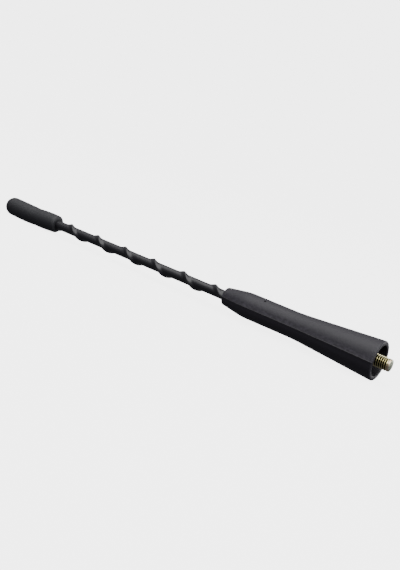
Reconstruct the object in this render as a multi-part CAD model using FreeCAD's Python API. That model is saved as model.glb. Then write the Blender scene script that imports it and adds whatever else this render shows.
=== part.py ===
import FreeCAD, Part
import math
import os

# Screw-on car roof antenna: a short whip with a spiral rib, a flared moulded boot at its foot,
# a threaded stud in the boot and a soft cap on the tip.
# It is drawn standing up: z = 0 is the plane of the boot's lip, the mast rises along +z and the stud
# hangs below. At the end every piece is laid over, so that the stud points along +x and the mast
# along -x, with the two ridges of the boot level on the left and the right.
# Sizes are in mm and degrees.

# Whole mast, from the stud's end to the cap's end
MAST_LENGTH = 201.0

# Fit between pieces that sit in one another
FIT = 0.05

# Threaded stud
THREAD_DIAMETER = 5.0
STUD_PROJECTION = 4.5
STUD_CHAMFER = 0.35
STUD_WAIST_DIAMETER = 4.2
STUD_ENGAGEMENT = 8.0

# Ferrule that joins the stud to the core
FERRULE_LENGTH = 40.0
COLLAR_ACROSS_FLATS = 8.0
COLLAR_LENGTH = 6.0
BARREL_DIAMETER = 6.0
FERRULE_WEB = 2.0

# Boot
LIP_DIAMETER = 15.7
LIP_ROUND = 0.8
NECK_DIAMETER = 10.5
MOUTH_DIAMETER = 7.4
MOUTH_CHAMFER = 0.5
FLARE_LENGTH = 34.5
NECK_LENGTH = 24.0
SHOULDER_LENGTH = 10.0
SHOULDER_BLEND_RADIUS = 25.0
RIDGE_DRAFT = 15.0
RECESS_DIAMETER = 12.0
RECESS_DEPTH = 3.2
RECESS_EDGE_CHAMFER = 0.4
RECESS_FLOOR = 1.2
STUD_HOLE_GAP = 0.15
PIN_HOLE_DIAMETER = 0.9
PIN_HOLE_DEPTH = 1.6
PIN_HOLE_HEIGHT = 50.0
PIN_HOLE_ANGLE = 63.0

# Whip
CORE_DIAMETER = 2.6
JACKET_DIAMETER = 4.0
RIB_HEIGHT = 0.85
RIB_CREST_RADIUS = 1.1
RIB_FLANK = 26.0
RIB_PITCH = 16.2
RIB_ROOT = 0.3
RIB_TUCK = 2.0

# Tip cap
CAP_LENGTH = 33.0
CAP_DIAMETER = 8.4
CAP_GRIP = 20.0
CAP_MOUTH_ROUND = 1.2

# Levels up the mast
recess_floor = RECESS_DEPTH
ferrule_foot = recess_floor + RECESS_FLOOR
ferrule_top = ferrule_foot + FERRULE_LENGTH
stud_top = ferrule_foot + STUD_ENGAGEMENT
core_foot = stud_top + FERRULE_WEB
flare_top = FLARE_LENGTH
neck_top = flare_top + NECK_LENGTH
boot_top = neck_top + SHOULDER_LENGTH
jacket_foot = ferrule_top + FIT
cap_end = MAST_LENGTH - STUD_PROJECTION
cap_mouth = cap_end - CAP_LENGTH
whip_top = cap_mouth + CAP_GRIP

jacket_radius = JACKET_DIAMETER / 2
thread_radius = THREAD_DIAMETER / 2


def point(radius, height):
    """A point of an outline in the half plane that is turned about the mast's axis."""
    return FreeCAD.Vector(radius, 0, height)


def corner_arc(before, corner, after, radius):
    """The arc that rounds one corner of an outline."""
    back = (before - corner).normalize()
    ahead = (after - corner).normalize()
    half_angle = back.getAngle(ahead) / 2
    reach = radius / math.tan(half_angle)
    middle_line = (back + ahead).normalize()
    centre = corner + middle_line * (radius / math.sin(half_angle))
    return Part.Arc(corner + back * reach, centre - middle_line * radius, corner + ahead * reach).toShape()


def rounded_outline(points, rounds):
    """Edges along the points, with the corners rounded whose index is in rounds."""
    edges = []
    start = points[0]
    for index in range(1, len(points)):
        end = points[index]
        if index in rounds:
            arc = corner_arc(points[index - 1], end, points[index + 1], rounds[index])
            edges.append(Part.makeLine(start, arc.firstVertex(True).Point))
            edges.append(arc)
            start = arc.lastVertex(True).Point
        else:
            edges.append(Part.makeLine(start, end))
            start = end
    return edges


def turned(edges):
    """Solid of revolution about the mast's axis from a closed outline."""
    outline = Part.Wire(Part.__sortEdges__(edges))
    return Part.Face(outline).revolve(FreeCAD.Vector(), FreeCAD.Vector(0, 0, 1), 360)


def turned_polygon(corners):
    """Solid of revolution from the corners of its half outline, given as radius and height."""
    points = [point(radius, height) for radius, height in corners]
    return turned(Part.makePolygon(points + [points[0]]).Edges)


def rod(diameter, foot, top):
    return Part.makeCylinder(diameter / 2, top - foot, FreeCAD.Vector(0, 0, foot))


def rib_angle(height):
    """Turn of the rib about the axis; it stands underneath where the whip enters the cap."""
    return 180 + 360 * (height - cap_mouth) / RIB_PITCH


def spiral_rib(foot, top, growth=0.0):
    """Right-handed rib between two levels, carried along its helix from a tented section."""
    flank = math.radians(RIB_FLANK)
    crest = jacket_radius + RIB_HEIGHT + growth
    crest_radius = RIB_CREST_RADIUS + growth
    root = jacket_radius - RIB_ROOT
    shoulder = crest - crest_radius * (1 - math.cos(flank))
    shoulder_half = crest_radius * math.sin(flank)
    root_half = shoulder_half + (shoulder - root) / math.tan(flank)
    lower_root = point(root, -root_half)
    lower_shoulder = point(shoulder, -shoulder_half)
    upper_shoulder = point(shoulder, shoulder_half)
    upper_root = point(root, root_half)
    section = Part.Wire([
        Part.makeLine(lower_root, lower_shoulder),
        Part.Arc(lower_shoulder, point(crest, 0), upper_shoulder).toShape(),
        Part.makeLine(upper_shoulder, upper_root),
        Part.makeLine(upper_root, lower_root),
    ])
    helix = Part.makeHelix(RIB_PITCH, top - foot, jacket_radius)
    rib = Part.Wire(helix.Edges).makePipeShell([section], True, True)
    rib.rotate(FreeCAD.Vector(), FreeCAD.Vector(0, 0, 1), rib_angle(foot))
    rib.translate(FreeCAD.Vector(0, 0, foot))
    return rib


def threaded_stud():
    """Double-ended stud with a plain waist where it passes the floor of the boot's recess."""
    waist_radius = STUD_WAIST_DIAMETER / 2
    waist_foot = recess_floor - STUD_CHAMFER
    return turned_polygon([
        (0, -STUD_PROJECTION),
        (thread_radius - STUD_CHAMFER, -STUD_PROJECTION),
        (thread_radius, STUD_CHAMFER - STUD_PROJECTION),
        (thread_radius, waist_foot),
        (waist_radius, waist_foot),
        (waist_radius, ferrule_foot),
        (thread_radius, ferrule_foot),
        (thread_radius, stud_top - STUD_CHAMFER),
        (thread_radius - STUD_CHAMFER, stud_top),
        (0, stud_top),
    ])


def ferrule_body(growth=0.0):
    """Turned barrel with a hexagonal collar that keys it in the boot, without its holes."""
    barrel = rod(BARREL_DIAMETER + 2 * growth, ferrule_foot - growth, ferrule_top + growth)
    corner_radius = (COLLAR_ACROSS_FLATS / 2 + growth) / math.cos(math.pi / 6)
    corners = []
    for index in range(7):
        angle = index * math.pi / 3
        corners.append(FreeCAD.Vector(
            corner_radius * math.cos(angle), corner_radius * math.sin(angle), ferrule_foot - growth))
    collar_length = COLLAR_LENGTH + 2 * growth
    collar = Part.Face(Part.makePolygon(corners)).extrude(FreeCAD.Vector(0, 0, collar_length))
    return barrel.fuse(collar).removeSplitter()


def base_ferrule():
    """Ferrule with a tapped hole for the stud and a socket for the core."""
    tapped_hole = rod(THREAD_DIAMETER + 2 * FIT, ferrule_foot, stud_top + FIT)
    core_socket = rod(CORE_DIAMETER + 2 * FIT, core_foot, ferrule_top)
    return ferrule_body().cut(tapped_hole).cut(core_socket)


def core_rod():
    """Spring-steel core that stands in the ferrule and ends with the jacket inside the cap."""
    return rod(CORE_DIAMETER, core_foot + FIT, whip_top)


def whip_jacket():
    """Sleeve over the core with the spiral rib, tucked into the boot and the cap at its ends."""
    sleeve = rod(JACKET_DIAMETER, jacket_foot, whip_top)
    rib = spiral_rib(boot_top - RIB_TUCK, cap_mouth + RIB_TUCK)
    bore = rod(CORE_DIAMETER + 2 * FIT, jacket_foot, whip_top)
    return sleeve.fuse(rib).cut(bore)


def ridged_section(radius, height):
    """Round section drawn out to a level ridge on each side by faces that lean by the mould's draft."""
    draft = math.radians(RIDGE_DRAFT)
    ridge = radius / math.cos(draft)
    rise = radius * math.sin(draft)
    side = radius * math.cos(draft)
    left = FreeCAD.Vector(0, -ridge, height)
    right = FreeCAD.Vector(0, ridge, height)
    upper_left = FreeCAD.Vector(rise, -side, height)
    upper_right = FreeCAD.Vector(rise, side, height)
    lower_left = FreeCAD.Vector(-rise, -side, height)
    lower_right = FreeCAD.Vector(-rise, side, height)
    return Part.Wire([
        Part.makeLine(right, upper_right),
        Part.Arc(upper_right, FreeCAD.Vector(radius, 0, height), upper_left).toShape(),
        Part.makeLine(upper_left, left),
        Part.makeLine(left, lower_left),
        Part.Arc(lower_left, FreeCAD.Vector(-radius, 0, height), lower_right).toShape(),
        Part.makeLine(lower_right, right),
    ])


def boot_outside():
    """Flared body of the boot, lofted through ridged sections along its outline."""
    lip = LIP_DIAMETER / 2
    neck = NECK_DIAMETER / 2
    mouth = MOUTH_DIAMETER / 2
    outline = rounded_outline(
        [point(0, 0), point(lip, 0), point(neck, flare_top), point(neck, neck_top),
         point(mouth, boot_top - MOUTH_CHAMFER), point(mouth - MOUTH_CHAMFER, boot_top), point(0, boot_top)],
        {1: LIP_ROUND, 3: SHOULDER_BLEND_RADIUS})
    stretches = []
    for edge in outline[1:-1]:
        straight = edge.Curve.TypeId == "Part::GeomLine"
        stations = edge.discretize(Number=2 if straight else 4)
        sections = [ridged_section(station.x, station.z) for station in stations]
        stretches.append(Part.makeLoft(sections, True, True))
    return stretches[0].multiFuse(stretches[1:]).removeSplitter()


def end_recess():
    """Space inside the lip: a shallow round pocket with a chamfered rim."""
    radius = RECESS_DIAMETER / 2
    rim = radius + RECESS_EDGE_CHAMFER
    return turned_polygon([
        (0, -RECESS_EDGE_CHAMFER),
        (rim, -RECESS_EDGE_CHAMFER),
        (rim, 0),
        (radius, RECESS_EDGE_CHAMFER),
        (radius, recess_floor),
        (0, recess_floor),
    ])


def pin_hole():
    """Mark of the pin that held the whip in the middle of the mould, high on the front of the neck."""
    angle = math.radians(PIN_HOLE_ANGLE)
    outward = FreeCAD.Vector(math.sin(angle), -math.cos(angle), 0)
    start = outward * (NECK_DIAMETER / 2 - PIN_HOLE_DEPTH) + FreeCAD.Vector(0, 0, PIN_HOLE_HEIGHT)
    return Part.makeCylinder(PIN_HOLE_DIAMETER / 2, 2 * PIN_HOLE_DEPTH, start, outward)


def base_boot():
    """Boot moulded round the ferrule and the foot of the whip, open at the lip for the stud."""
    stud_hole = rod(THREAD_DIAMETER + 2 * STUD_HOLE_GAP, recess_floor - FIT, ferrule_foot)
    jacket_hole = rod(JACKET_DIAMETER + 2 * FIT, ferrule_top - FIT, boot_top)
    rib_hole = spiral_rib(boot_top - RIB_TUCK - 2 * FIT, boot_top + RIB_PITCH / 2, FIT)
    boot = boot_outside().cut(end_recess()).cut(stud_hole).cut(ferrule_body(FIT))
    return boot.cut(jacket_hole).cut(rib_hole).cut(pin_hole())


def tip_cap():
    """Soft cap with a rounded mouth and a domed end, pushed over the whip."""
    radius = CAP_DIAMETER / 2
    dome_foot = cap_end - radius
    diagonal = math.sqrt(0.5)
    dome = Part.Arc(
        point(radius, dome_foot), point(radius * diagonal, dome_foot + radius * diagonal), point(0, cap_end))
    side = rounded_outline(
        [point(0, cap_end), point(0, cap_mouth), point(radius, cap_mouth), point(radius, dome_foot)],
        {2: CAP_MOUTH_ROUND})
    socket = rod(JACKET_DIAMETER + 2 * FIT, cap_mouth, whip_top + FIT)
    rib_hole = spiral_rib(cap_mouth - RIB_PITCH / 2, cap_mouth + RIB_TUCK + 2 * FIT, FIT)
    return turned(side + [dome.toShape()]).cut(socket).cut(rib_hole)


def laid_over(shape):
    """Turns a piece from standing up to lying along x, with the mast towards -x."""
    shape.rotate(FreeCAD.Vector(), FreeCAD.Vector(0, 1, 0), -90)
    return shape


pieces = {
    "threaded_stud": threaded_stud,
    "base_ferrule": base_ferrule,
    "core_rod": core_rod,
    "whip_jacket": whip_jacket,
    "base_boot": base_boot,
    "tip_cap": tip_cap,
}

os.makedirs("parts", exist_ok=True)
for name, make in pieces.items():
    laid_over(make()).exportStep("parts/" + name + ".step")
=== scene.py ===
import math

import bmesh
import bpy
from mathutils import Matrix, Vector


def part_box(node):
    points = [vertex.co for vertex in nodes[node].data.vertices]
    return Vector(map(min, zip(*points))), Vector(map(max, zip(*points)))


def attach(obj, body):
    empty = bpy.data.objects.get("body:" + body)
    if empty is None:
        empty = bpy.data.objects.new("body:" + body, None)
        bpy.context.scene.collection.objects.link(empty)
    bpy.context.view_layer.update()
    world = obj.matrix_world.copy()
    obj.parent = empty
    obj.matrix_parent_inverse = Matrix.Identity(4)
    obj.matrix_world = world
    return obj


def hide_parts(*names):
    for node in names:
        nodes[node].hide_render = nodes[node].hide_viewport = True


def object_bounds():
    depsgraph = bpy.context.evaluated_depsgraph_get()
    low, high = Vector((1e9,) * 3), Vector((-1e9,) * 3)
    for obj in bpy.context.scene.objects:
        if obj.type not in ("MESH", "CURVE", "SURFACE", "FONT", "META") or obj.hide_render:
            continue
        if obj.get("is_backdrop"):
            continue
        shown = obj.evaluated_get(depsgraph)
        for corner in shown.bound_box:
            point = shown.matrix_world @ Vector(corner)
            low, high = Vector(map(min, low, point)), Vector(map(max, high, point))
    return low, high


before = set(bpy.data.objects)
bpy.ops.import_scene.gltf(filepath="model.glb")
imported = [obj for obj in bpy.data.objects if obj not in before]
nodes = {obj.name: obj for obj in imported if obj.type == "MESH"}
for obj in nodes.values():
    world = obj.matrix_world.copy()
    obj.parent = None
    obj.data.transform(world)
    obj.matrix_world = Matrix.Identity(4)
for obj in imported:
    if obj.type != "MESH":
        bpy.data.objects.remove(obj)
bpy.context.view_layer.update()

# Threaded stud: a steel stud with a rolled M5 thread, plated with zinc and passivated yellow.
# It is screwed into the ferrule and stands out of the boot; its end is turned flat with a rounded edge.
stud_low, stud_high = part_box("threaded_stud")
thread_radius = stud_high.y
thread_pitch = 0.0008
thread_depth = 0.00049
end_land = 0.0007
end_round = 0.00035
land_drop = 0.00012
waist_radius = 0.0021
waist_start = -0.00285
waist_end = -0.0044


def ring(x, radii):
    """Points round the mast's axis at x, from the top over the far side, one for each radius."""
    count = len(radii)
    points = []
    for index, radius in enumerate(radii):
        angle = 2 * math.pi * index / count
        points.append((x, radius * math.sin(angle), radius * math.cos(angle)))
    return points


def skin(name, rings, sharp_angle):
    """Mesh through rings of equal count, joined where they meet, smooth up to the sharp angle."""
    count = len(rings[0])
    vertices = [point for points in rings for point in points]
    faces = []
    for row in range(len(rings) - 1):
        for index in range(count):
            following = (index + 1) % count
            faces.append((row * count + index, row * count + following,
                          (row + 1) * count + following, (row + 1) * count + index))
    mesh = bpy.data.meshes.new(name)
    mesh.from_pydata(vertices, [], faces)
    shell = bmesh.new()
    shell.from_mesh(mesh)
    bmesh.ops.remove_doubles(shell, verts=shell.verts, dist=0.000001)
    bmesh.ops.recalc_face_normals(shell, faces=shell.faces)
    shell.to_mesh(mesh)
    shell.free()
    mesh.shade_smooth()
    mesh.set_sharp_from_angle(angle=math.radians(sharp_angle))
    piece = bpy.data.objects.new(name, mesh)
    bpy.context.scene.collection.objects.link(piece)
    return piece


def thread_cut(x, turn):
    """Depth of the thread's groove at x and a turn from 0 to 1: flat crests and round roots."""
    phase = (x / thread_pitch + turn) % 1
    from_root = abs(phase - 0.5) * 2
    slope = min(max((0.88 - from_root) / 0.76, 0), 1)
    return thread_depth * math.sin(slope * math.pi / 2) ** 1.3


stud_around = 72
thread_step = thread_pitch / 14
stud_end = stud_high.x
stud_rings = [ring(stud_end, [0] * stud_around)]
for step in range(5):
    angle = math.pi / 2 * step / 4
    drop = end_round * (1 - math.sin(angle))
    inset = end_round * (1 - math.cos(angle))
    stud_rings.append(ring(stud_end - inset, [thread_radius - land_drop - drop] * stud_around))
thread_rows = int((stud_end - end_round - waist_start) / thread_step)
for row in range(1, thread_rows):
    x = stud_end - end_round - row * thread_step
    run_in = min(max((stud_end - end_land - x) / thread_pitch, 0), 1)
    radii = []
    for index in range(stud_around):
        cut = thread_cut(x, index / stud_around) * run_in
        radii.append(thread_radius - land_drop * (1 - run_in) - cut)
    stud_rings.append(ring(x, radii))
stud_rings.append(ring(waist_start, [waist_radius] * stud_around))
stud_rings.append(ring(waist_end, [waist_radius] * stud_around))
stud_rings.append(ring(waist_end, [thread_radius] * stud_around))
stud_rings.append(ring(stud_low.x, [thread_radius] * stud_around))
stud_rings.append(ring(stud_low.x, [0] * stud_around))
stud = skin("stud_thread", stud_rings, 50)
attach(stud, "root")
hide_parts("threaded_stud")


def colour(code):
    """Linear colour of an sRGB hex code."""
    channels = []
    for start in (1, 3, 5):
        value = int(code[start:start + 2], 16) / 255
        channels.append(value / 12.92 if value <= 0.04045 else ((value + 0.055) / 1.055) ** 2.4)
    return (*channels, 1)


def add_node(tree, kind, settings, links):
    """Adds a node, sets its properties and inputs, and links its inputs to other sockets."""
    node = tree.nodes.new(kind)
    for name, value in settings.items():
        if isinstance(name, int) or name in node.inputs:
            node.inputs[name].default_value = value
        else:
            setattr(node, name, value)
    for name, socket in links.items():
        tree.links.new(socket, node.inputs[name])
    return node


def new_material(name):
    """Material with nothing but an output; returns the material, its tree and the output."""
    material = bpy.data.materials.new(name)
    material.use_nodes = True
    tree = material.node_tree
    tree.nodes.clear()
    return material, tree, tree.nodes.new("ShaderNodeOutputMaterial")


# Passivated zinc plate: a pale olive-gold sheen on the crests, a pinker end land, a grey-green end face,
# and painted shade that darkens the roots to near black where light is lost. The film's patches are
# about 1.4 mm across.
crest_margin = 0.00004
land_fade = 0.0003
face_start = 0.00012
face_full = 0.00004
film_patch = 0.0014
zinc, tree, output = new_material("yellow_chromate_zinc_plated_steel")
place = add_node(tree, "ShaderNodeTexCoord", {}, {})
across = add_node(tree, "ShaderNodeVectorMath", {"operation": "MULTIPLY", 1: (0, 1, 1)},
                  {0: place.outputs["Object"]})
from_axis = add_node(tree, "ShaderNodeVectorMath", {"operation": "LENGTH"},
                     {0: across.outputs["Vector"]})
# Painted shade mask: 0 deep in the thread's roots, rising to 1 on the crests.
height = add_node(tree, "ShaderNodeMapRange",
                  {"From Min": thread_radius - thread_depth, "From Max": thread_radius - crest_margin},
                  {"Value": from_axis.outputs["Value"]})
film = add_node(tree, "ShaderNodeTexNoise", {"Scale": 1 / film_patch, "Detail": 2},
                {"Vector": place.outputs["Object"]})
film_spread = add_node(tree, "ShaderNodeMapRange", {"From Min": 0.38, "From Max": 0.62},
                       {"Value": film.outputs["Fac"]})
film_tint = add_node(tree, "ShaderNodeMix",
                     {"data_type": "RGBA", 6: colour("#e6dfa6"), 7: colour("#d8cc96")},
                     {0: film_spread.outputs["Result"]})
# Painted shade: the film's colour is mixed towards near black the deeper a point lies in the roots.
plated_with_root_shade = add_node(tree, "ShaderNodeMix", {"data_type": "RGBA", 6: colour("#1f1b0b")},
                  {0: height.outputs["Result"], 7: film_tint.outputs[2]})
place_parts = add_node(tree, "ShaderNodeSeparateXYZ", {}, {"Vector": place.outputs["Object"]})
on_land = add_node(tree, "ShaderNodeMapRange",
                   {"From Min": stud_end - end_land - land_fade, "From Max": stud_end - end_land},
                   {"Value": place_parts.outputs["X"]})
with_land = add_node(tree, "ShaderNodeMix", {"data_type": "RGBA", 7: colour("#dcc6a6")},
                     {0: on_land.outputs["Result"], 6: plated_with_root_shade.outputs[2]})
on_end = add_node(tree, "ShaderNodeMapRange",
                  {"From Min": stud_end - face_start, "From Max": stud_end - face_full},
                  {"Value": place_parts.outputs["X"]})
with_end = add_node(tree, "ShaderNodeMix", {"data_type": "RGBA", 7: colour("#c6cdb2")},
                    {0: on_end.outputs["Result"], 6: with_land.outputs[2]})
steel = add_node(tree, "ShaderNodeBsdfPrincipled", {"Metallic": 1, "Roughness": 0.3},
                 {"Base Color": with_end.outputs[2]})
tree.links.new(steel.outputs["BSDF"], output.inputs["Surface"])
stud.data.materials.append(zinc)

# Ferrule: a turned brass sleeve with a hexagonal collar, moulded into the boot.
# It is tapped for the stud at one end and bored for the core at the other.
# Turned brass: bright yellow metal with rings left by the tool, drawn 0.6 mm apart so that they show.
tool_feed = 0.0006
brass, tree, output = new_material("turned_brass")
place = add_node(tree, "ShaderNodeTexCoord", {}, {})
tool_marks = add_node(tree, "ShaderNodeTexWave",
                      {"bands_direction": "X", "Scale": 1 / tool_feed, "Distortion": 0.4},
                      {"Vector": place.outputs["Object"]})
lathe = add_node(tree, "ShaderNodeBump", {"Strength": 0.1, "Distance": 0.00002},
                 {"Height": tool_marks.outputs["Fac"]})
metal = add_node(tree, "ShaderNodeBsdfPrincipled",
                 {"Base Color": colour("#c9a45c"), "Metallic": 1, "Roughness": 0.3},
                 {"Normal": lathe.outputs["Normal"]})
tree.links.new(metal.outputs["BSDF"], output.inputs["Surface"])
nodes["base_ferrule"].data.materials.clear()
nodes["base_ferrule"].data.materials.append(brass)

# Core: a drawn spring-steel rod in the middle of the whip.
# Its foot stands in the ferrule and its other end lies under the cap.
# Drawn spring steel: grey metal with streaks 25 mm long and a sixth of a millimetre wide from the die.
spring_steel, tree, output = new_material("drawn_spring_steel")
place = add_node(tree, "ShaderNodeTexCoord", {}, {})
drawing = add_node(tree, "ShaderNodeMapping", {"Scale": (40, 6000, 6000)},
                   {"Vector": place.outputs["Object"]})
streaks = add_node(tree, "ShaderNodeTexNoise", {"Scale": 1, "Detail": 3},
                   {"Vector": drawing.outputs["Vector"]})
wear = add_node(tree, "ShaderNodeMapRange", {"To Min": 0.25, "To Max": 0.45},
                {"Value": streaks.outputs["Fac"]})
metal = add_node(tree, "ShaderNodeBsdfPrincipled", {"Base Color": colour("#b4b4b6"), "Metallic": 1},
                 {"Roughness": wear.outputs["Result"]})
tree.links.new(metal.outputs["BSDF"], output.inputs["Surface"])
nodes["core_rod"].data.materials.clear()
nodes["core_rod"].data.materials.append(spring_steel)

# Jacket: a glossy black PVC sleeve, shrunk over the core so that the spiral shows as a tented rib.
# It runs from the ferrule inside the boot to the end of the core inside the cap.
jacket_low, jacket_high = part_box("whip_jacket")
cap_low, cap_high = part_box("tip_cap")
jacket_radius = 0.002
core_radius = 0.00135
rib_height = 0.00085
rib_crest_radius = 0.0011
rib_flank = math.radians(26)
rib_foot_softness = 0.00022
rib_pitch = 0.0162
rib_tuck = 0.002
cap_mouth = -cap_high.x
boot_top = -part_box("base_boot")[0].x


def soft_floor(value, softness):
    """The value where it is well above zero and zero well below, with a smooth change between."""
    return (value + math.sqrt(value * value + softness * softness)) / 2


def rib_rise(height, turn):
    """How far the rib lifts the jacket at a height up the mast and a turn about it from 0 to 1."""
    if not boot_top - rib_tuck < height < cap_mouth + rib_tuck:
        return 0
    lag = height - cap_mouth - (turn - 0.5) * rib_pitch
    from_crest = abs((lag + rib_pitch / 2) % rib_pitch - rib_pitch / 2)
    crest_half = rib_crest_radius * math.sin(rib_flank)
    if from_crest < crest_half:
        tent = rib_height - rib_crest_radius + math.sqrt(rib_crest_radius ** 2 - from_crest ** 2)
    else:
        shoulder = rib_height - rib_crest_radius * (1 - math.cos(rib_flank))
        tent = shoulder - (from_crest - crest_half) * math.tan(rib_flank)
    return soft_floor(tent, rib_foot_softness) - soft_floor(-rib_height, rib_foot_softness)


jacket_around = 64
jacket_step = 0.0003
jacket_rows = int((jacket_high.x - jacket_low.x) / jacket_step)
bore_start = ring(jacket_high.x, [core_radius] * jacket_around)
jacket_rings = [bore_start]
for row in range(jacket_rows + 1):
    x = jacket_high.x + (jacket_low.x - jacket_high.x) * row / jacket_rows
    radii = [jacket_radius + rib_rise(-x, index / jacket_around) for index in range(jacket_around)]
    jacket_rings.append(ring(x, radii))
jacket_rings += [ring(jacket_low.x, [core_radius] * jacket_around), bore_start]
jacket = skin("jacket_sleeve", jacket_rings, 60)
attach(jacket, "root")
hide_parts("whip_jacket")

# Shrunk PVC: smooth black skin with a broad soft sheen, wavy over about 2 mm where it shrank.
shrink_wave = 0.0022
pvc, tree, output = new_material("black_pvc_shrink_sleeve")
place = add_node(tree, "ShaderNodeTexCoord", {}, {})
shrink = add_node(tree, "ShaderNodeTexNoise", {"Scale": 1 / shrink_wave, "Detail": 2},
                  {"Vector": place.outputs["Object"]})
waviness = add_node(tree, "ShaderNodeBump", {"Strength": 0.25, "Distance": 0.00006},
                    {"Height": shrink.outputs["Fac"]})
plastic = add_node(tree, "ShaderNodeBsdfPrincipled",
                   {"Base Color": colour("#19181c"), "Roughness": 0.38, "IOR": 1.53},
                   {"Normal": waviness.outputs["Normal"]})
tree.links.new(plastic.outputs["BSDF"], output.inputs["Surface"])
jacket.data.materials.append(pvc)

# Boot: moulded in satin black plastic round the ferrule and the foot of the whip.
# The mould's halves leave a ridge with a thin flash on each side, and a pin leaves a small hole.
lip_radius = 0.00785
lip_round = 0.0008
neck_radius = 0.00525
mouth_radius = 0.0037
mouth_round = 0.0005
flare_length = 0.0345
neck_length = 0.024
flare_blend = 0.0045
shoulder_blend = 0.0025
ridge_draft = math.radians(15)
flash_height = 0.00007
recess_radius = 0.006
recess_depth = 0.0032
recess_edge = 0.0004
stud_hole_radius = 0.00265
collar_radius = 0.00467
collar_end = -0.01045
barrel_radius = 0.00305
barrel_end = -0.04445
pin_hole_radius = 0.00045
pin_hole_place = -0.05
pin_hole_angle = math.radians(63)
pin_hole_depth = 0.0016
pin_around = 32
sleeve_gap = 0.00005
boot_around = 240
boot_sharp_angle = 20
row_length = 0.002


def ridged(radius):
    """Radii round the boot: a circle drawn out to a ridge on each side, with flash on the ridge."""
    radii = []
    for index in range(boot_around):
        turn = 2 * math.pi * index / boot_around
        from_ridge = min(abs(turn - math.pi / 2), abs(turn - 3 * math.pi / 2))
        reach = radius / math.cos(max(ridge_draft - from_ridge, 0))
        if from_ridge < math.pi / boot_around:
            reach += flash_height
        radii.append(reach)
    return radii


def bend(start, middle, end, count):
    """Points on a smooth bend that leaves start towards middle and comes in to end from there."""
    points = []
    for step in range(1, count):
        share = step / count
        points.append(start * (1 - share) ** 2 + middle * (2 * share * (1 - share)) + end * share ** 2)
    return points


def along(start, end, distance):
    """The point at a distance from start towards end."""
    return start + (end - start).normalized() * distance


lip_corner = Vector((0, lip_radius))
flare_corner = Vector((-flare_length, neck_radius))
shoulder_corner = Vector((-flare_length - neck_length, neck_radius))
mouth_corner = Vector((-boot_top, mouth_radius))
inner_mouth = Vector((-boot_top, jacket_radius + sleeve_gap))
lip_inner = Vector((0, recess_radius + recess_edge))
bore_end = Vector((barrel_end, inner_mouth.y))
outline = [bore_end, inner_mouth, along(mouth_corner, inner_mouth, mouth_round)]
outline += bend(outline[-1], mouth_corner, along(mouth_corner, shoulder_corner, mouth_round), 5)
for corner, before, after, reach in ((shoulder_corner, mouth_corner, flare_corner, shoulder_blend),
                                     (flare_corner, shoulder_corner, lip_corner, flare_blend),
                                     (lip_corner, flare_corner, lip_inner, lip_round)):
    start = along(corner, before, reach)
    end = along(corner, after, reach)
    rows = int((start - outline[-1]).length / row_length)
    outline += [outline[-1].lerp(start, (row + 1) / (rows + 1)) for row in range(rows)]
    outline += [start, *bend(start, corner, end, 10), end]
round_part = len(outline)
recess_corner = Vector((0, recess_radius))
recess_wall = Vector((-recess_edge, recess_radius))
outline += [lip_inner, *bend(lip_inner, recess_corner, recess_wall, 5), recess_wall]
outline += [Vector((-recess_depth, recess_radius)), Vector((-recess_depth, stud_hole_radius))]
outline += [Vector((waist_end, stud_hole_radius)), Vector((waist_end, collar_radius))]
outline += [Vector((collar_end, collar_radius)), Vector((collar_end, barrel_radius))]
outline += [Vector((barrel_end, barrel_radius)), bore_end]
boot_rings = []
for index, station in enumerate(outline):
    if 2 <= index < round_part:
        boot_rings.append(ring(station.x, ridged(station.y)))
    else:
        boot_rings.append(ring(station.x, [station.y] * boot_around))
boot = skin("boot_moulding", boot_rings, boot_sharp_angle)

pin_rings = []
for depth, radius in ((pin_hole_depth, 0), (pin_hole_depth, pin_hole_radius),
                      (-pin_hole_depth, pin_hole_radius), (-pin_hole_depth, 0)):
    pin_rings.append(ring(depth, [radius] * pin_around))
pin = skin("pin", pin_rings, 40)
pin_direction = Vector((0, -math.cos(pin_hole_angle), math.sin(pin_hole_angle)))
pin.matrix_world = (Matrix.Translation(Vector((pin_hole_place, 0, 0)) + pin_direction * neck_radius)
                    @ pin_direction.to_track_quat("X", "Z").to_matrix().to_4x4())
drilling = boot.modifiers.new("pin_hole", "BOOLEAN")
drilling.operation = "DIFFERENCE"
drilling.object = pin
drilling.solver = "EXACT"
evaluated = boot.evaluated_get(bpy.context.evaluated_depsgraph_get())
boot.data = bpy.data.meshes.new_from_object(evaluated)
boot.modifiers.clear()
shell = bmesh.new()
shell.from_mesh(boot.data)
bmesh.ops.remove_doubles(shell, verts=shell.verts, dist=0.000004)
bmesh.ops.triangulate(shell, faces=[face for face in shell.faces if len(face.verts) > 4])
bmesh.ops.dissolve_degenerate(shell, edges=shell.edges, dist=0.000002)
shell.to_mesh(boot.data)
shell.free()
boot.data.shade_smooth()
boot.data.set_sharp_from_angle(angle=math.radians(boot_sharp_angle))
bpy.data.objects.remove(pin)
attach(boot, "root")
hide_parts("base_boot")

# Moulded satin plastic: black with a violet cast, a fine grain, and pale flow marks above the ridges.
# The marks are 1.3 mm long and 0.7 mm wide. The grain is drawn at 0.18 mm, coarser than it is, to show.
grain_size = 0.00018
mark_length = 0.0013
mark_width = 0.0007
satin, tree, output = new_material("satin_black_moulded_plastic")
place = add_node(tree, "ShaderNodeTexCoord", {}, {})
grain = add_node(tree, "ShaderNodeTexNoise", {"Scale": 1 / grain_size, "Detail": 3},
                 {"Vector": place.outputs["Object"]})
grained = add_node(tree, "ShaderNodeBump", {"Strength": 0.15, "Distance": 0.00003},
                   {"Height": grain.outputs["Fac"]})
flow = add_node(tree, "ShaderNodeMapping", {"Scale": (1 / mark_length, 1 / mark_width, 1 / mark_width)},
                {"Vector": place.outputs["Object"]})
marks = add_node(tree, "ShaderNodeTexNoise", {"Scale": 1, "Detail": 4, "Roughness": 0.6},
                 {"Vector": flow.outputs["Vector"]})
place_parts = add_node(tree, "ShaderNodeSeparateXYZ", {}, {"Vector": place.outputs["Object"]})
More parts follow.
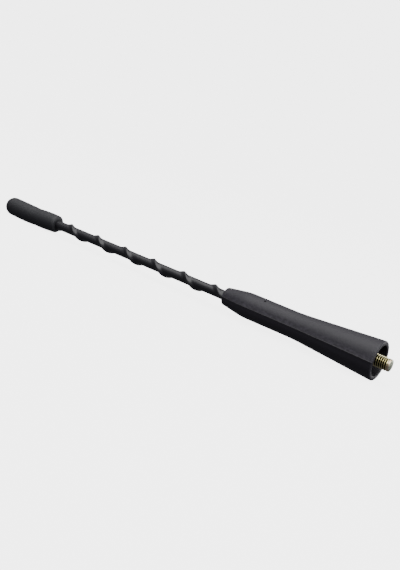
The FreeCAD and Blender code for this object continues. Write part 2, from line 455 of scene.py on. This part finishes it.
near_ridge = add_node(tree, "ShaderNodeMapRange", {"From Min": 0.0034, "From Max": 0.0004},
                      {"Value": place_parts.outputs["Z"]})
patches = add_node(tree, "ShaderNodeMapRange", {"From Min": 0.42, "From Max": 0.74},
                   {"Value": marks.outputs["Fac"]})
above_ridge = add_node(tree, "ShaderNodeMapRange", {"From Min": 0.0001, "From Max": 0.0005},
                       {"Value": place_parts.outputs["Z"]})
ridge_band = add_node(tree, "ShaderNodeMath", {"operation": "MULTIPLY"},
                      {0: near_ridge.outputs["Result"], 1: above_ridge.outputs["Result"]})
bloom = add_node(tree, "ShaderNodeMath", {"operation": "MULTIPLY"},
                 {0: ridge_band.outputs["Value"], 1: patches.outputs["Result"]})
shade = add_node(tree, "ShaderNodeMix",
                 {"data_type": "RGBA", 6: colour("#1f1c23"), 7: colour("#3b3741")},
                 {0: bloom.outputs["Value"]})
polish = add_node(tree, "ShaderNodeMapRange", {"To Min": 0.5, "To Max": 0.62},
                  {"Value": marks.outputs["Fac"]})
plastic = add_node(tree, "ShaderNodeBsdfPrincipled", {"IOR": 1.5},
                   {"Base Color": shade.outputs[2], "Roughness": polish.outputs["Result"],
                    "Normal": grained.outputs["Normal"]})
tree.links.new(plastic.outputs["BSDF"], output.inputs["Surface"])
boot.data.materials.append(satin)

# Cap: a soft black rubber cap, dip moulded with a round end and a rounded mouth.
# It is pushed over the end of the whip and grips it, which leaves a slight waist.
cap_radius = cap_high.z
cap_length = cap_high.x - cap_low.x
cap_mouth_round = 0.0013
cap_around = 96
# Where the side is drawn in or swells, as its distance from the mouth, its depth and its spread
mouth_draw = (0, 0.00017, 0.004)
grip_waist = (0.0129, 0.00015, 0.0024)
end_swell = (0.0225, -0.00008, 0.004)
cap_lean = 0.00035
cap_stations = []
for step in range(9):
    angle = math.pi / 2 * step / 8
    cap_stations.append((cap_mouth_round * (1 - math.cos(angle)),
                         cap_radius - mouth_draw[1] - cap_mouth_round * (1 - math.sin(angle))))
side_rows = 60
side_end = cap_length - cap_radius
for row in range(1, side_rows):
    reach = cap_mouth_round + (side_end - cap_mouth_round) * row / side_rows
    drawn_in = 0
    for centre, depth, spread in (mouth_draw, grip_waist, end_swell):
        drawn_in += depth * math.exp(-((reach - centre) / spread) ** 2)
    cap_stations.append((reach, cap_radius - drawn_in))
for step in range(24):
    angle = math.pi / 2 * step / 24
    cap_stations.append((side_end + cap_radius * math.sin(angle), cap_radius * math.cos(angle)))
cap_stations.append((cap_length, 0))
cap_rings = [ring(jacket_low.x, [0] * cap_around)]
for x in (jacket_low.x, cap_high.x):
    cap_rings.append(ring(x, [jacket_radius + sleeve_gap] * cap_around))
for reach, radius in cap_stations:
    lean = cap_lean * math.sin(math.pi * min(reach / cap_length, 1)) ** 2
    points = ring(cap_high.x - reach, [radius] * cap_around)
    cap_rings.append([(x, y, z - lean) for x, y, z in points])
cap = skin("cap_moulding", cap_rings, 60)
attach(cap, "root")
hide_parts("tip_cap")

# Dip-moulded rubber: matt black that spreads the light, with a skin grain of about 0.25 mm.
skin_grain_size = 0.00025
rubber, tree, output = new_material("matte_black_rubber")
place = add_node(tree, "ShaderNodeTexCoord", {}, {})
skin_grain = add_node(tree, "ShaderNodeTexNoise", {"Scale": 1 / skin_grain_size, "Detail": 3},
                      {"Vector": place.outputs["Object"]})
matt = add_node(tree, "ShaderNodeBump", {"Strength": 0.3, "Distance": 0.00004},
                {"Height": skin_grain.outputs["Fac"]})
dipped = add_node(tree, "ShaderNodeBsdfPrincipled",
                  {"Base Color": colour("#1c1c20"), "Roughness": 0.6, "IOR": 1.52},
                  {"Normal": matt.outputs["Normal"]})
tree.links.new(dipped.outputs["BSDF"], output.inputs["Surface"])
cap.data.materials.append(rubber)

# Stage: a pale matt floor that rises all round, touching the boot's lip and the cap.
# A large soft light hangs over the mast, and the camera looks at it from the stud's end.
boot_rest = Vector((-lip_round, 0, -lip_radius))
cap_rest = Vector((cap_low.x + cap_radius, 0, -cap_radius))
floor_slope = math.atan2(boot_rest.z - cap_rest.z, boot_rest.x - cap_rest.x)
flat_radius = 0.8
cove_radius = 0.6
wall_height = 1.6
floor_around = 64
floor_profile = [(0, 0), (0.3, 0), (flat_radius, 0)]
for step in range(1, 17):
    angle = math.pi / 2 * step / 16
    floor_profile.append((flat_radius + cove_radius * math.sin(angle),
                          cove_radius * (1 - math.cos(angle))))
floor_profile.append((flat_radius + cove_radius, wall_height))
floor_rings = []
for radius, height in floor_profile:
    floor_rings.append([(y, z, height) for x, y, z in ring(0, [radius] * floor_around)])
floor = skin("floor", floor_rings, 60)
floor.matrix_world = Matrix.Translation(boot_rest) @ Matrix.Rotation(-floor_slope, 4, "Y")
floor.visible_diffuse = False
floor.visible_glossy = False
floor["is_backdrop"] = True
# White paper, lit through: it looks pale and even, and lends the mast no light or reflection.
paper, tree, output = new_material("white_paper")
sheet = add_node(tree, "ShaderNodeBsdfPrincipled",
                 {"Base Color": colour("#8c8c8c"), "Roughness": 0.9,
                  "Emission Color": colour("#ffffff"), "Emission Strength": 4.2}, {})
tree.links.new(sheet.outputs["BSDF"], output.inputs["Surface"])
floor.data.materials.append(paper)

world = bpy.data.worlds.new("studio")
bpy.context.scene.world = world
world.use_nodes = True
tree = world.node_tree
direction = add_node(tree, "ShaderNodeTexCoord", {}, {})
direction_parts = add_node(tree, "ShaderNodeSeparateXYZ", {},
                           {"Vector": direction.outputs["Generated"]})
room_height = add_node(tree, "ShaderNodeMapRange", {"From Min": -0.25, "From Max": 0.5},
                       {"Value": direction_parts.outputs["Z"]})
room = add_node(tree, "ShaderNodeMix",
                {"data_type": "RGBA", 6: colour("#8c8c94"), 7: colour("#f4f6fa")},
                {0: room_height.outputs["Result"]})
tree.links.new(room.outputs[2], tree.nodes["Background"].inputs["Color"])
tree.nodes["Background"].inputs["Strength"].default_value = 0.5


def soft_light(name, place, target, size, power):
    """Square area light at a place, turned to a target."""
    lamp = bpy.data.lights.new(name, "AREA")
    lamp.size = size
    lamp.energy = power
    light = bpy.data.objects.new(name, lamp)
    light.location = place
    light.rotation_euler = (Vector(target) - Vector(place)).to_track_quat("-Z", "Y").to_euler()
    bpy.context.scene.collection.objects.link(light)


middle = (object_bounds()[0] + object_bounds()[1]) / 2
soft_light("overhead", (-0.06, -0.24, 0.8), middle, 1.2, 13.5)
soft_light("stud_end", (0.55, -0.12, 0.34), stud_high, 0.3, 2.4)
soft_light("far_side", (0.3, 0.75, 0.1), stud_high, 0.4, 2)

off_axis = 0.3
view_rise = math.radians(12)
end_turn = math.radians(17)
image_slope = math.radians(23)
image_share = 0.955
image_width = 400
image_height = 570
sensor_size = 36
camera_place = Vector((off_axis * math.tan(end_turn),
                       -off_axis * math.cos(view_rise), off_axis * math.sin(view_rise)))
to_stud = math.atan2(camera_place.x - stud_end, off_axis)
to_tip = math.atan2(camera_place.x - cap_low.x, off_axis)
aim = Vector((camera_place.x - off_axis * math.tan((to_stud + to_tip) / 2), 0, 0))
ahead = (aim - camera_place).normalized()
mast = Vector((1, 0, 0))
mast_in_image = (mast - ahead * mast.dot(ahead)).normalized()
above_mast = mast_in_image.cross(ahead)
right = mast_in_image * math.cos(image_slope) + above_mast * math.sin(image_slope)
up = above_mast * math.cos(image_slope) - mast_in_image * math.sin(image_slope)
half_length = image_share * image_width / 2 / math.cos(image_slope)
focal_pixels = half_length / math.tan((to_tip - to_stud) / 2)
lens = bpy.data.cameras.new("camera")
lens.sensor_width = sensor_size
lens.lens = focal_pixels / image_height * sensor_size
lens.clip_start = 0.01
camera = bpy.data.objects.new("camera", lens)
camera_turn = Matrix((right, up, -ahead)).transposed().to_4x4()
camera.matrix_world = Matrix.Translation(camera_place) @ camera_turn
bpy.context.scene.collection.objects.link(camera)
bpy.context.scene.camera = camera
